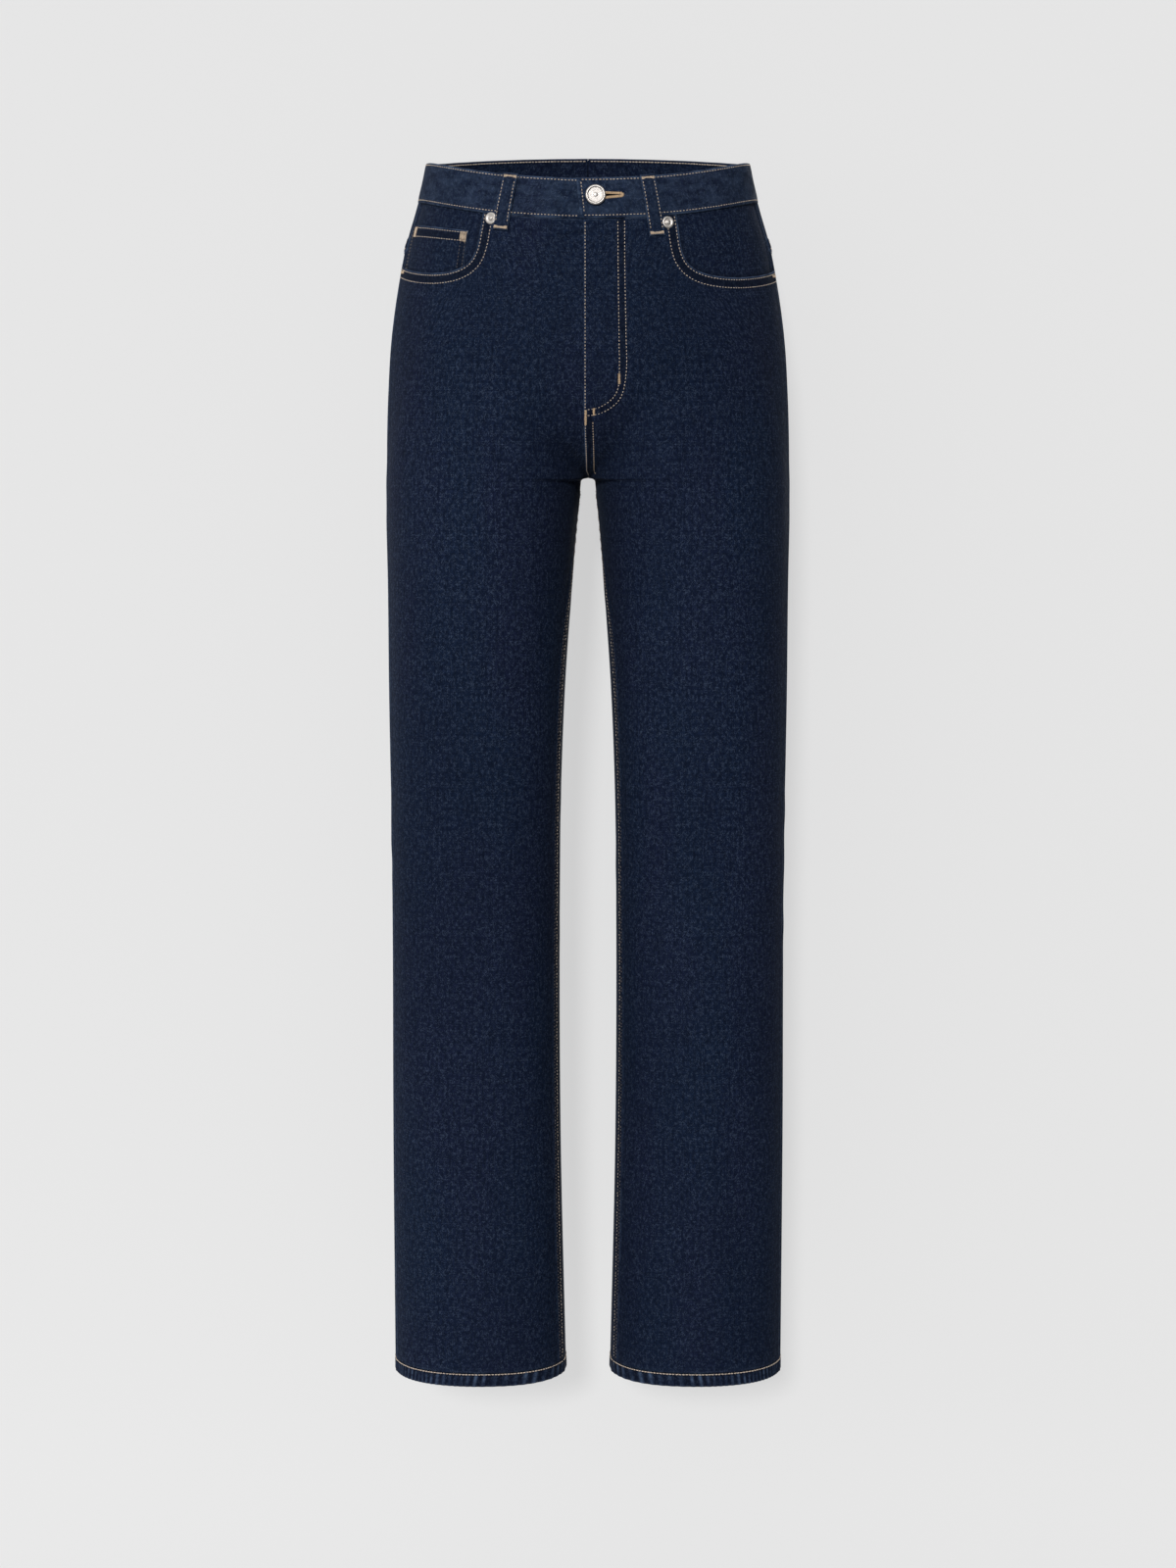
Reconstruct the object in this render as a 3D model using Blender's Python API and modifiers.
"""Straight-leg jeans, filled out as when they are worn, with no wearer inside.

The cloth follows one form: a pair of trousers lofted through the level sections in SECTIONS.
A place on the form has two coordinates:
    u   how far round one half of the garment: 0 at the centre front or inseam,
        0.5 at the outseam, 1 at the centre back or inseam again
    h   how far down the outseam, in metres: 0 at the waistband's top edge
Every piece of cloth is a patch of (u, h), given its thickness between two depths from the form,
so pieces that lie on each other share the form's facets and never cut through each other.

Metres, +Z up, the front towards -Y. The origin is the middle of the waist opening.
The wearer's left is +X.
"""

import math

import bmesh
import bpy
import numpy as np
from mathutils import Vector

# ---------------------------------------------------------------- driving sizes

SECTIONS = (
    # z       outer   inner   front    back     the level's height, half width out to the outseam,
    (0.020, 0.1360, 0.0058, -0.0900, 0.0950),  # half gap in to the inseam, and the y of the
    (0.000, 0.1395, 0.0058, -0.0930, 0.1000),  # frontmost and rearmost cloth
    (-0.035, 0.1474, 0.0058, -0.0975, 0.1090),
    (-0.070, 0.1578, 0.0058, -0.1010, 0.1200),
    (-0.105, 0.1650, 0.0058, -0.1030, 0.1290),
    (-0.150, 0.1716, 0.0058, -0.1030, 0.1350),
    (-0.200, 0.1750, 0.0058, -0.1005, 0.1355),
    (-0.271, 0.1766, 0.0058, -0.0945, 0.1230),
    (-0.300, 0.1766, 0.0089, -0.0920, 0.1155),
    (-0.350, 0.1758, 0.0126, -0.0875, 0.1035),
    (-0.450, 0.1752, 0.0198, -0.0800, 0.0880),
    (-0.550, 0.1740, 0.0237, -0.0735, 0.0790),
    (-0.650, 0.1733, 0.0248, -0.0692, 0.0740),
    (-0.850, 0.1738, 0.0243, -0.0655, 0.0705),
    (-1.0675, 0.1731, 0.0196, -0.0645, 0.0670),
)
FULLNESS = 0.07  # how much fuller than an ellipse a section is between its axes
OVAL = 2.2  # the same for the inner thigh and the centre seam's curve, as an exponent

WAIST_FRONT_DIP = 0.020  # the waist edge dips this far at the centre front
WAIST_BACK_RISE = 0.013  # and stands this far above the sides at the centre back
SEAT_TURN_Z = -0.175  # where the centre seams start to curve under
CROTCH_Z = -0.271
CROTCH_ROUND = 0.003  # height over which the legs part below the crotch point
HOLLOW = 0.014  # how softly the cloth hollows between the thighs
THIGH_BLEND = 0.060  # below the crotch, the height over which seat turns into thigh
HEM_Z = -1.0675
OUTSEAM_LEAD = math.radians(9)  # the outseam lies this far forward of the side
OUTSEAM_TURN = math.radians(5)  # and this much more on the leg
INSEAM_LEAD = math.radians(16)  # the inseam's lead, once it is clear of the crotch
INNER_SHARE = 0.15  # share of u, at each end, that wraps the inside of the leg

WAISTBAND = 0.034  # its height
HEM = 0.0125  # and the hem's
YOKE_SIDE, YOKE_CENTRE = 0.040, 0.068  # height of the back yoke below the waistband

CLOTH = 0.0012  # one layer of denim
FOLDED = 0.0030  # denim folded and stitched, as in the waistband and hem
SEAM_GAP = 0.0003
SEAM_HALF = SEAM_GAP / 2
LIE_GAP = 0.0005  # a piece clears the faceted panel it lies on or behind by this much
PROUD = 0.0006  # the waistband stands this far out from the panels

# The front hangs a little turned, so its features lie further round on the wearer's right.
FRONT_TURN = 0.019  # in u
FRONT_SLANT = 0.0018  # and this much higher
FRONT_REACH = 0.415  # metres across the front for each unit of u, near the middle
FLY_EDGE_X = -0.0035  # the left front laps past the middle by this much
FLY_WIDTH_U = 0.078
FLY_CURVE_H, FLY_FOOT_H = 0.150, 0.205
LAP_TOP_X, LAP_FOOT_X = -0.0100, -0.0065  # the waistband's overlapping end
POCKET_MOUTH_U = 0.189  # where the pocket mouth leaves the waistband
POCKET_DEPTH = 0.0607  # its lowest, below the waistband
POCKET_RISE = 0.0050  # and how far it climbs again to the outseam
POCKET_ROUND = 5.0  # exponent of the mouth's curve
COIN_TOPS = (0.0165, 0.0190)  # the coin pocket's edge, below the waistband, at its two ends
COIN_U = (0.237, 0.468)
BACK_POCKET_U = (0.675, 0.925)
LOOP_U = 0.140  # the front belt loops
LOOP_WIDTH, LOOP_THICK, LOOP_DROP, LOOP_STAND = 0.0115, 0.0018, 0.013, 0.0022
BUTTON_X, BUTTON_H, BUTTON_RADIUS = 0.0062, 0.0150, 0.0085
RIVET_U, RIVET_RADIUS, RIVET_DROP = 0.1686, 0.0047, 0.0060

# Edges of the form's facets in u: closer together where they wrap the inside of the leg.
FRONT_EDGES = (0.0, 0.03, 0.06, 0.09, 0.12, 0.15, 0.22, 0.29, 0.36, 0.43, 0.5)
BACK_EDGES = tuple(1.0 - u for u in reversed(FRONT_EDGES))
EDGES = np.array(FRONT_EDGES + BACK_EDGES[1:])

COLOURS = {
    "denim": ((0.012, 0.019, 0.042, 1.0), 0.85, 0.0),
    "zip_tape": ((0.010, 0.013, 0.026, 1.0), 0.80, 0.0),
    "button_metal": ((0.62, 0.58, 0.55, 1.0), 0.35, 1.0),
}


# ---------------------------------------------------------------- the form


def smoothstep(x):
    """0 to 1 with level ends: 3x^2 - 2x^3."""
    x = np.clip(x, 0.0, 1.0)
    return x * x * (3.0 - 2.0 * x)


def section(z):
    """Columns (outer, inner, front, back) at a height: the Hermite cubic through SECTIONS."""
    rows = np.array(SECTIONS)
    down, values = -rows[:, 0], rows[:, 1:]
    slopes = np.gradient(values, down, axis=0)
    i = np.clip(np.searchsorted(down, -z) - 1, 0, len(down) - 2)
    span = (down[i + 1] - down[i])[..., None]
    s = ((-z - down[i])[..., None] / span).clip(-0.5, 1.5)
    start = (1 + 2 * s) * (1 - s) ** 2 * values[i] + s * (1 - s) ** 2 * span * slopes[i]
    end = s * s * (3 - 2 * s) * values[i + 1] + s * s * (s - 1) * span * slopes[i + 1]
    return np.moveaxis(start + end, -1, 0)


def body_angle(u):
    """Angle round the whole garment, from -90 degrees at the front to 90 at the back."""
    return np.interp(u, (0.0, 0.5, 1.0), (-math.pi / 2, -OUTSEAM_LEAD, math.pi / 2))


def rounded(angle):
    """A point on the unit circle, filled out at its diagonals: cos (1 + F sin^2), sin (1 + F cos^2)."""
    c, s = np.cos(angle), np.sin(angle)
    return c * (1 + FULLNESS * s * s), s * (1 + FULLNESS * c * c)


def outer_section(u, z):
    """(x, y) round the outside of a level section: half a seat that eases into a leg's oval."""
    outer, inner, front, back = section(z)
    middle, half = (front + back) / 2, (back - front) / 2
    share = smoothstep((SEAT_TURN_Z - z) / (SEAT_TURN_Z - CROTCH_Z + THIGH_BLEND))
    x, y = rounded(body_angle(u))
    x, y = outer * x, middle + half * y
    lead = OUTSEAM_LEAD + OUTSEAM_TURN * smoothstep((CROTCH_Z - z) / 0.15)
    stops = np.array((0.0, INNER_SHARE, 0.5, 1.0 - INNER_SHARE, 1.0))
    angle = np.interp(u, stops, np.radians((-180.0, -95.0, 0.0, 95.0, 180.0)))
    angle = angle - lead * (1.0 - np.clip(np.abs(u - 0.5) / (0.5 - INNER_SHARE), 0.0, 1.0))
    across, along = rounded(angle)
    gap = inner * share
    leg_x, leg_y = (outer + gap) / 2 + (outer - gap) / 2 * across, middle + half * along
    return x + share * (leg_x - x), y + share * (leg_y - y)


def inner_section(u, z):
    """(x, y) from the centre seam or inseam out to where outer_section takes over.

    Both are depths v from the section's middle, over X = 0 at the seam to 1 at the leg's front:
    the leg's oval v1 (1 - (1 - X)^p)^(1/p), and the seat between the legs, which the centre seam's
    curve draws in by (1 - fall^p)^(1/p). The cloth takes the further out, with a soft hollow between."""
    outer, inner, front, back = section(z)
    middle, half = (front + back) / 2, (back - front) / 2
    sign = np.where(u < 0.5, -1.0, 1.0)
    edge = np.where(u < 0.5, INNER_SHARE, 1.0 - INNER_SHARE)
    w = np.minimum(u, 1.0 - u) / INNER_SHARE
    x1, y1 = outer_section(edge, z)
    x2, y2 = outer_section(edge - sign * 0.004, z)
    slope = sign * (y2 - y1) / (x2 - x1)
    fall = np.clip((SEAT_TURN_Z - z) / (SEAT_TURN_Z - CROTCH_Z), 0.0, 1.0)
    parted = np.clip((CROTCH_Z - z) / CROTCH_ROUND, 0.0, 1.0)
    x0 = (SEAM_HALF + inner * np.sqrt(parted * (2.0 - parted))) * np.where(z > CROTCH_Z, 0.0, 1.0)

    lead = INSEAM_LEAD * smoothstep((CROTCH_Z - z) / 0.15)
    theta = sign * -lead + (math.pi / 2 + sign * lead) * w
    by_seat = np.cos(body_angle(u)) / np.cos(body_angle(edge))
    out = (1.0 - fall**2) * by_seat + fall**2 * (1.0 - np.cos(theta))
    x = x0 + (x1 - x0) * out
    bulge = (1.0 - np.clip(1.0 - out, 0.0, 1.0) ** OVAL) ** (1.0 / OVAL)
    front_reach = middle - outer_section(np.full_like(u, INNER_SHARE), z)[1]
    leg = sign * (y1 - middle) * bulge + slope * (x1 - x0) * (out - 1.0) * out * out
    leg = np.where(theta < 0.0, -front_reach * bulge, leg)

    c = x / outer
    c = c / (1.0 + FULLNESS * (1.0 - c * c))
    seat = half * np.sqrt(np.maximum(0.0, 1.0 - c * c)) * (1.0 + FULLNESS * c * c)
    seat = seat * (1.0 - fall**OVAL) ** (1.0 / OVAL)
    soft = HOLLOW * 4.0 * fall * (1.0 - fall) * (1.0 - w * w) + 1e-6
    far = np.maximum(leg, seat) + soft / 4 * np.maximum(0.0, 1.0 - np.abs(leg - seat) / soft) ** 2
    depth = np.where(z > CROTCH_Z, far, leg)
    return x, middle + sign * depth


def waist_rise(u, h):
    """How far the waist's tilt lifts this place. It fades out down to the seat."""
    s = np.sin(body_angle(u))
    fade = 1.0 - smoothstep((h - WAISTBAND) / 0.150)
    return fade * np.where(s < 0, -WAIST_FRONT_DIP * s * s, WAIST_BACK_RISE * np.abs(s) ** 1.3)


def form(u, h):
    """The smooth form: the outer face of the wearer's left half, for arrays of u and h."""
    u, h = np.broadcast_arrays(np.asarray(u, float), np.asarray(h, float))
    z = waist_rise(u, h) - h
    inside = np.minimum(u, 1.0 - u) < INNER_SHARE
    x, y = np.where(inside, inner_section(u, z), outer_section(u, z))
    return np.stack((x, y, z), -1)


def outward(u, h):
    """The form's outward normal. Round the crotch point, a saddle, it leans to straight down."""
    step = 5e-4
    u, h = np.broadcast_arrays(np.asarray(u, float), np.asarray(h, float))
    round_it = form(np.minimum(u + step, 1.0), h) - form(np.maximum(u - step, 0.0), h)
    down = form(u, h + step) - form(u, h - step)
    normal = np.cross(down, round_it)
    seam = (np.minimum(u, 1.0 - u) < 1e-6) & (h < -CROTCH_Z)
    normal[..., 0] = np.where(seam, 0.0, normal[..., 0])
    normal /= np.linalg.norm(normal, axis=-1, keepdims=True)
    from_tip = np.linalg.norm(form(u, h) - form(0.0, -CROTCH_Z), axis=-1)
    near = np.exp(-((from_tip / 0.010) ** 2))[..., None]
    normal = (1.0 - near) * normal + near * np.array((0.0, 0.0, -1.0))
    return normal / np.linalg.norm(normal, axis=-1, keepdims=True)


_worked_out = {}


def edge_point(u, h):
    """(place, outward normal) at an edge between facets, worked out once."""
    key = (round(float(u), 9), round(float(h), 9))
    if key not in _worked_out:
        _worked_out[key] = (form(u, h), outward(u, h))
    return _worked_out[key]


def cloth_point(side, u, h, depth):
    """A point this far inside the faceted form. Below u = 0 and past u = 1 it is on the other half."""
    if u < 0.0:
        side, u = -side, -u
    if u > 1.0:
        side, u = -side, 2.0 - u
    i = int(np.clip(np.searchsorted(EDGES, u, side="right") - 1, 0, len(EDGES) - 2))
    share = (u - EDGES[i]) / (EDGES[i + 1] - EDGES[i])
    place_a, normal_a = edge_point(EDGES[i], h)
    place_b, normal_b = edge_point(EDGES[i + 1], h)
    point = (1 - share) * (place_a - depth * normal_a) + share * (place_b - depth * normal_b)
    return np.array((side * point[0], point[1], point[2]))


def u_at_x(x, h):
    """The u, near the centre front, whose x on the left half is x. Negative x is across the line."""
    return x / edge_point(FRONT_EDGES[1], h)[0][0] * FRONT_EDGES[1]


# ---------------------------------------------------------------- building pieces


def material(name, finish):
    """A piece's own Principled material, in one of the finishes in COLOURS."""
    colour, roughness, metallic = COLOURS[finish]
    made = bpy.data.materials.new(name)
    made.use_nodes = True
    shader = made.node_tree.nodes["Principled BSDF"]
    shader.inputs["Base Color"].default_value = colour
    shader.inputs["Roughness"].default_value = roughness
    shader.inputs["Metallic"].default_value = metallic
    made.diffuse_color = colour
    return made


def add_object(name, mesh, finish):
    """Links a mesh as a named object in the garment's collection."""
    made = bpy.data.objects.new(name, mesh)
    made.data.materials.append(material(name, finish))
    bpy.data.collections["jeans"].objects.link(made)
    return made


def cloth_piece(name, side, rows, outer, inner, finish="denim", ring=False):
    """A cut piece of cloth: a loft through rows of (u, h) places, closed round its edges.

    outer and inner are depths from the form, as numbers or as functions of (u, h)."""
    depth_of = [d if callable(d) else (lambda u, h, d=d: d) for d in (outer, inner)]
    wide, tall = len(rows[0]), len(rows)
    points, faces = [], []
    for depth in depth_of:
        points += [cloth_point(side, u, h, depth(u, h)) for row in rows for u, h in row]

    def corner(layer, row, column):
        return (layer * tall + row) * wide + column % wide

    across = wide if ring else wide - 1
    for row in range(tall - 1):
        for column in range(across):
            for layer in (0, 1):
                places = ((row, column), (row + 1, column), (row + 1, column + 1), (row, column + 1))
                faces.append([corner(layer, r, c) for r, c in places])
    rims = [((row, column), (row, column + 1)) for column in range(across) for row in (0, tall - 1)]
    if not ring:
        rims += [((row, column), (row + 1, column)) for row in range(tall - 1) for column in (0, wide - 1)]
    for start, end in rims:
        faces.append([corner(0, *start), corner(0, *end), corner(1, *end), corner(1, *start)])

    work = bmesh.new()
    corners = [work.verts.new(tuple(p)) for p in points]
    for face in faces:
        work.faces.new([corners[i] for i in face])
    bmesh.ops.recalc_face_normals(work, faces=work.faces)
    mesh = bpy.data.meshes.new(name)
    work.to_mesh(mesh)
    work.free()
    return add_object(name, mesh, finish)


def edges_between(low, high):
    """low, each facet edge between them, and high."""
    return [low, *(u for u in EDGES if low + 1e-4 < u < high - 1e-4), high]


def steps(start, stop, count):
    """count + 1 even steps."""
    return [start + (stop - start) * i / count for i in range(count + 1)]


# Rows of the lower panels, from where the seat turns under down to the hem.
TURN_H = 0.175
LOWER_ROWS = [0.190, 0.205, 0.220, 0.235, 0.250, 0.262, 0.271, 0.2722, 0.274, 0.282]
LOWER_ROWS += [0.300, 0.325, 0.360, 0.420, 0.500, 0.600, 0.720, 0.850, 0.970]
PANEL_TOP = WAISTBAND + SEAM_GAP
PANEL_FOOT = -HEM_Z - HEM - SEAM_GAP


def seam_u(reach=0.30):
    """Half a seam gap as a share of u, where half the garment measures this far round."""
    return SEAM_HALF / reach


def centre_u(side, h):
    """u of a front panel's edge on the centre seam. The left front laps past the middle."""
    if h >= -CROTCH_Z:
        return seam_u()
    lap = FLY_EDGE_X * (1.0 - smoothstep((h - 0.235) / 0.030))
    return float(u_at_x((lap if side > 0 else -lap) + SEAM_HALF, h))


def mouth_start(side):
    """u where the pocket mouth leaves the waistband."""
    return POCKET_MOUTH_U - side * FRONT_TURN


def mouth_h(side, u):
    """h of the pocket mouth's edge: a rounded quarter down from the waistband, level by the outseam."""
    start = mouth_start(side)
    if u <= start:
        return PANEL_TOP
    across = min(max((0.5 - u) / (0.5 - start), 0.0), 1.0)
    depth = POCKET_DEPTH + side * FRONT_SLANT
    curve = depth * (1.0 - across**POCKET_ROUND) ** (1.0 / POCKET_ROUND)
    return PANEL_TOP + curve - POCKET_RISE * (1.0 - across) ** 3


def upper_rows(top, count):
    """The h of a panel's rows from its top edge to where the seat turns under."""
    return steps(top, TURN_H, count)


def front_panel(name, side):
    """Front leg: from the centre seam and inseam to the outseam, cut away under the pocket mouth."""
    start = mouth_start(side)
    curve = [start + away for away in (0.0, 0.004, 0.010, 0.020, 0.036)]
    columns = sorted({*FRONT_EDGES[1:-1], *curve, 0.47, 0.5 - seam_u()})
    lines = [(None, upper_rows(PANEL_TOP, 5)), *((u, upper_rows(mouth_h(side, u), 5)) for u in columns)]
    rows = []
    for i in range(6):
        rows.append([(centre_u(side, line[i]) if u is None else u, line[i]) for u, line in lines])
    for h in [*LOWER_ROWS, PANEL_FOOT]:
        rows.append([(centre_u(side, h), h), *((u, h) for u in columns)])
    return cloth_piece(name, side, rows, 0.0, CLOTH)


def yoke_h(u):
    """h of the yoke's lower seam: a shallow V, deepest at the centre back."""
    return WAISTBAND + YOKE_SIDE + (YOKE_CENTRE - YOKE_SIDE) * (u - 0.5) / 0.5


def back_panel(name, side):
    """Back leg: from the outseam to the centre back and inseam, below the yoke."""
    columns = edges_between(0.5 + seam_u(), 1.0 - seam_u())
    lines = [upper_rows(yoke_h(u) + SEAM_GAP, 4) for u in columns]
    rows = [[(u, line[i]) for u, line in zip(columns, lines)] for i in range(5)]
    rows += [[(u, h) for u in columns] for h in [*LOWER_ROWS, PANEL_FOOT]]
    return cloth_piece(name, side, rows, 0.0, CLOTH)


def yoke(name, side):
    """The shaped piece between the waistband and the back leg."""
    columns = edges_between(0.5 + seam_u(), 1.0 - seam_u())
    rows = []
    for share in steps(0.0, 1.0, 3):
        rows.append([(u, PANEL_TOP + share * (yoke_h(u) - PANEL_TOP)) for u in columns])
    return cloth_piece(name, side, rows, 0.0, CLOTH)


def pocket_facing(name, side):
    """The denim that shows inside the pocket mouth. It lies behind the front leg."""
    columns = edges_between(mouth_start(side) - 0.030, 0.5 - seam_u())
    rows = [[(u, h) for u in columns] for h in steps(PANEL_TOP, PANEL_TOP + POCKET_DEPTH + 0.022, 3)]
    depth = CLOTH + 2 * LIE_GAP
    return cloth_piece(name, side, rows, depth, depth + CLOTH)


def coin_pocket(name):
    """The small patch in the wearer's right pocket. Its foot follows the pocket mouth."""
    columns = edges_between(*COIN_U)
    lines = []
    for u in columns:
        top = WAISTBAND + float(np.interp(u, COIN_U, COIN_TOPS))
        lines.append(steps(top, mouth_h(-1, u) - 3 * SEAM_GAP, 3))
    rows = [[(u, line[i]) for u, line in zip(columns, lines)] for i in range(4)]
    return cloth_piece(name, -1, rows, 0.0004, 0.0014)


def fly_facing(name):
    """The facing behind the left front that the J of stitching holds: straight, then curved in at its foot."""
    rows = []
    for h in [*upper_rows(PANEL_TOP, 5), 0.190, FLY_FOOT_H]:
        past = min(max((h - FLY_CURVE_H) / (FLY_FOOT_H - FLY_CURVE_H), 0.0), 0.95)
        left, right = centre_u(1, h) + 0.001, FLY_WIDTH_U * (1.0 - past**3) ** (1 / 3)
        rows.append([(left, h), (min(0.03, right - 0.004), h), (min(0.06, right - 0.002), h), (right, h)])
    depth = CLOTH + LIE_GAP
    return cloth_piece(name, 1, rows, depth, depth + CLOTH)


def zip_strip(name):
    """The closed zip behind the fly: two tapes and the chain between them, as one strip."""
    middle_x, half_tape, half_chain = 0.006, 0.0125, 0.0030
    depth = 2 * (CLOTH + LIE_GAP)
    rows = []
    for h in upper_rows(PANEL_TOP, 5):
        places = (float(u_at_x(middle_x + x, h)) for x in (-half_tape, -half_chain, half_chain, half_tape))
        rows.append([(u, h) for u in sorted([*places, 0.0])])

    def back_depth(u, h):
        from_middle = abs(u - u_at_x(middle_x, h))
        return depth + (0.0022 if from_middle <= u_at_x(half_chain, h) * 1.01 else 0.0008)

    return cloth_piece(name, 1, rows, depth, back_depth, "zip_tape")


def waistband(name, side):
    """Half the waistband. At the front the left half laps over the right, which dips under it."""
    places = [0.075, 0.083, 0.10, 0.11] if side > 0 else [-0.05, -0.025, 0.0, 0.022, 0.04, 0.05, 0.072]
    middle = [*(u for u in {*EDGES, *places} if (0.01 if side > 0 else -0.06) < u < 0.99), 1.0 - seam_u()]
    rows = []
    for h in steps(0.0, WAISTBAND, 3):
        lap_x = LAP_TOP_X + (LAP_FOOT_X - LAP_TOP_X) * h / WAISTBAND
        end = float(u_at_x(lap_x if side > 0 else -0.030, h))
        rows.append([(u, h) for u in sorted([end, *middle])])

    def shift(u):
        """Outwards where the left half laps over, inwards where the right half goes under."""
        if side > 0:
            return FOLDED / 2 * (1.0 - smoothstep((u - 0.075) / 0.035))
        return -(FOLDED / 2 + SEAM_GAP) * (1.0 - smoothstep((u - 0.022) / 0.05))

    return cloth_piece(name, side, rows, lambda u, h: -PROUD - shift(u), lambda u, h: FOLDED - PROUD - shift(u))


def belt_loop(name, side, u):
    """A folded strap, tacked at the waist edge and below the waistband, standing off between."""
    half = LOOP_WIDTH / 2 / FRONT_REACH
    columns = edges_between(u - half, u + half) if u + half < 1.0 else [u - half, 1.0, u + half]
    foot = WAISTBAND + LOOP_DROP + (side * FRONT_SLANT if u < 0.5 else 0.0)
    rows = [[(c, h) for c in columns] for h in steps(0.0, foot, 7)]

    def rest(h):
        on_band = 1.0 - smoothstep((h - WAISTBAND - 0.004) / 0.006)
        return SEAM_GAP + PROUD * on_band + LOOP_STAND * math.sin(math.pi * min(h / foot, 1.0)) ** 0.8

    return cloth_piece(name, side, rows, lambda c, h: -rest(h) - LOOP_THICK, lambda c, h: -rest(h))


def back_pocket(name, side):
    """A five-sided patch pocket on the seat."""
    low_u, high_u = BACK_POCKET_U
    columns = edges_between(low_u, high_u)
    lines = []
    for u in columns:
        line = upper_rows(yoke_h(u) + SEAM_GAP, 4)
        aside = abs(u - (low_u + high_u) / 2) / (high_u - low_u) * 2
        top = line[0] + 0.16 * (TURN_H - line[0])
        lines.append([top, *line[1:], 0.190, 0.205, 0.220, 0.235, 0.250 - 0.008 * aside**1.3])
    rows = [[(u, line[i]) for u, line in zip(columns, lines)] for i in range(len(lines[0]))]
    return cloth_piece(name, side, rows, -LIE_GAP - CLOTH, -LIE_GAP)


def hem(name, side):
    """The turned-up foot of a leg: a ring of folded denim."""
    columns = list(EDGES[:-1])
    rows = [[(u, h) for u in columns] for h in (-HEM_Z - HEM, -HEM_Z - HEM / 2, -HEM_Z)]
    return cloth_piece(name, side, rows, 0.0, FOLDED, ring=True)


def turned(name, profile, steps_round=24):
    """A turned metal piece about its own Z, from a profile of (radius, height) at +X."""
    mesh = bpy.data.meshes.new(name)
    points = [(radius, 0.0, height) for radius, height in profile]
    mesh.from_pydata(points, [(i, i + 1) for i in range(len(points) - 1)], [])
    made = add_object(name, mesh, "button_metal")
    screw = made.modifiers.new("Turn", "SCREW")
    screw.steps = screw.render_steps = steps_round
    screw.use_merge_vertices = True
    screw.merge_threshold = 0.00005
    screw.use_smooth_shade = True
    return made


def set_on_cloth(piece, side, u, h, depth):
    """Seats a turned piece with its Z along the outward normal."""
    place = cloth_point(side, u, h, depth)
    away = cloth_point(side, u, h, depth - 0.01) - place
    piece.location = Vector(place)
    piece.rotation_mode = "QUATERNION"
    piece.rotation_quaternion = Vector(away).to_track_quat("Z", "Y")


def shank_button(name):
    """A jeans button: a dished cap on a shank, above the waistband's lap."""
    cap, shank, rim, foot = BUTTON_RADIUS, 0.0028, 0.0011, 0.0012
    crown = foot + 0.0030
    profile = [
        (0.0, crown - 0.0004),
        (0.0018, crown - 0.0004),
        (0.0024, crown - 0.0009),
        (cap - 0.0024, crown - 0.0009),
        (cap - 0.0014, crown),
        (cap - 0.0005, crown - 0.0002),
        (cap, crown - 0.0009),
        (cap - 0.0003, foot + rim),
        (shank, foot + 0.0004),
        (shank, -FOLDED - 0.0001),
        (0.0, -FOLDED - 0.0001),
    ]
    made = turned(name, profile)
    set_on_cloth(made, 1, u_at_x(BUTTON_X, BUTTON_H), BUTTON_H, -PROUD - FOLDED / 2)
    return made


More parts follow.
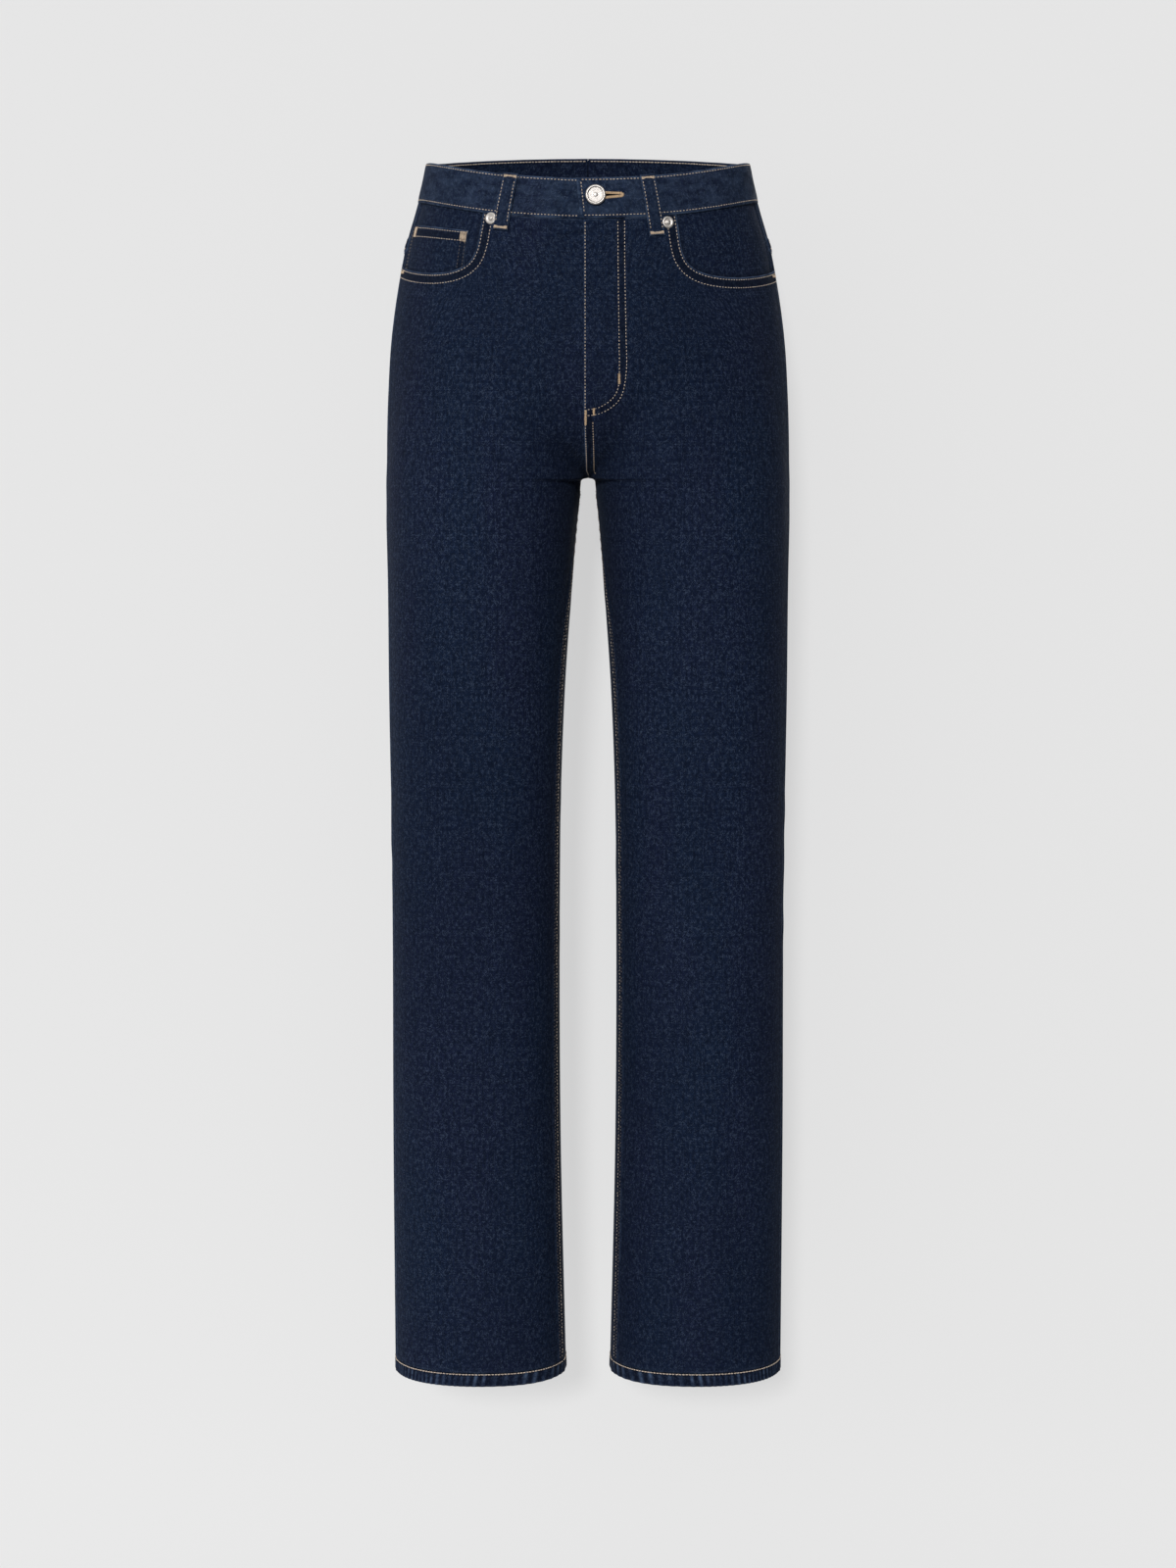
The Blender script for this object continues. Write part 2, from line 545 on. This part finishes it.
def rivet(name, side):
    """A copper-set rivet cap with a raised pin head, at the pocket mouth's inner end."""
    r = RIVET_RADIUS
    profile = [
        (0.0, 0.0019),
        (r * 0.30, 0.0018),
        (r * 0.42, 0.0010),
        (r * 0.75, 0.0011),
        (r * 0.95, 0.0008),
        (r, 0.0002),
        (r * 0.98, 0.0),
        (0.0, 0.0),
    ]
    made = turned(name, profile, 20)
    set_on_cloth(made, side, RIVET_U - side * FRONT_TURN, WAISTBAND + RIVET_DROP, -SEAM_GAP * 1.2)
    return made


def buttonhole_cutter(name):
    """An eyelet with a tail: the hole that the shank goes through. It is a tool and not a piece."""
    place = cloth_point(1, u_at_x(BUTTON_X, BUTTON_H), BUTTON_H, 0.0)
    mesh = bpy.data.meshes.new(name)
    eye, tail, half = 0.0034, 0.0215, 0.0007
    arc = [math.radians(a) for a in range(30, 331, 20)]
    outline = [(eye * math.cos(a), eye * math.sin(a)) for a in arc] + [(tail, -half), (tail, half)]
    n = len(outline)
    points = [(x, y, z) for y in (-0.012, 0.012) for x, z in outline]
    faces = [tuple(range(n)), tuple(reversed(range(n, 2 * n)))]
    faces += [(i, i + n, (i + 1) % n + n, (i + 1) % n) for i in range(n)]
    mesh.from_pydata(points, [], faces)
    made = bpy.data.objects.new(name, mesh)
    made.location = Vector(place)
    made.hide_render = True
    made.display_type = "WIRE"
    bpy.data.collections["tools"].objects.link(made)
    return made


def main():
    for obj in list(bpy.data.objects):
        bpy.data.objects.remove(obj, do_unlink=True)
    for name in ("jeans", "tools"):
        made = bpy.data.collections.new(name)
        bpy.context.scene.collection.children.link(made)

    for word, side in (("left", 1), ("right", -1)):
        front_panel(f"front_{word}", side)
        back_panel(f"back_{word}", side)
        yoke(f"yoke_{word}", side)
        pocket_facing(f"pocket_facing_{word}", side)
        back_pocket(f"back_pocket_{word}", side)
        hem(f"hem_{word}", side)
        band = waistband(f"waistband_{word}", side)
        if side > 0:
            cut = band.modifiers.new("Buttonhole", "BOOLEAN")
            cut.object = buttonhole_cutter("buttonhole_tool")
            cut.operation = "DIFFERENCE"
            cut.solver = "EXACT"
        belt_loop(f"belt_loop_front_{word}", side, LOOP_U - side * FRONT_TURN)
        belt_loop(f"belt_loop_back_{word}", side, 0.73)
        rivet(f"rivet_{word}", side)
    belt_loop("belt_loop_centre_back", 1, 1.0)
    coin_pocket("coin_pocket")
    fly_facing("fly_facing")
    zip_strip("zip")
    shank_button("button")


main()
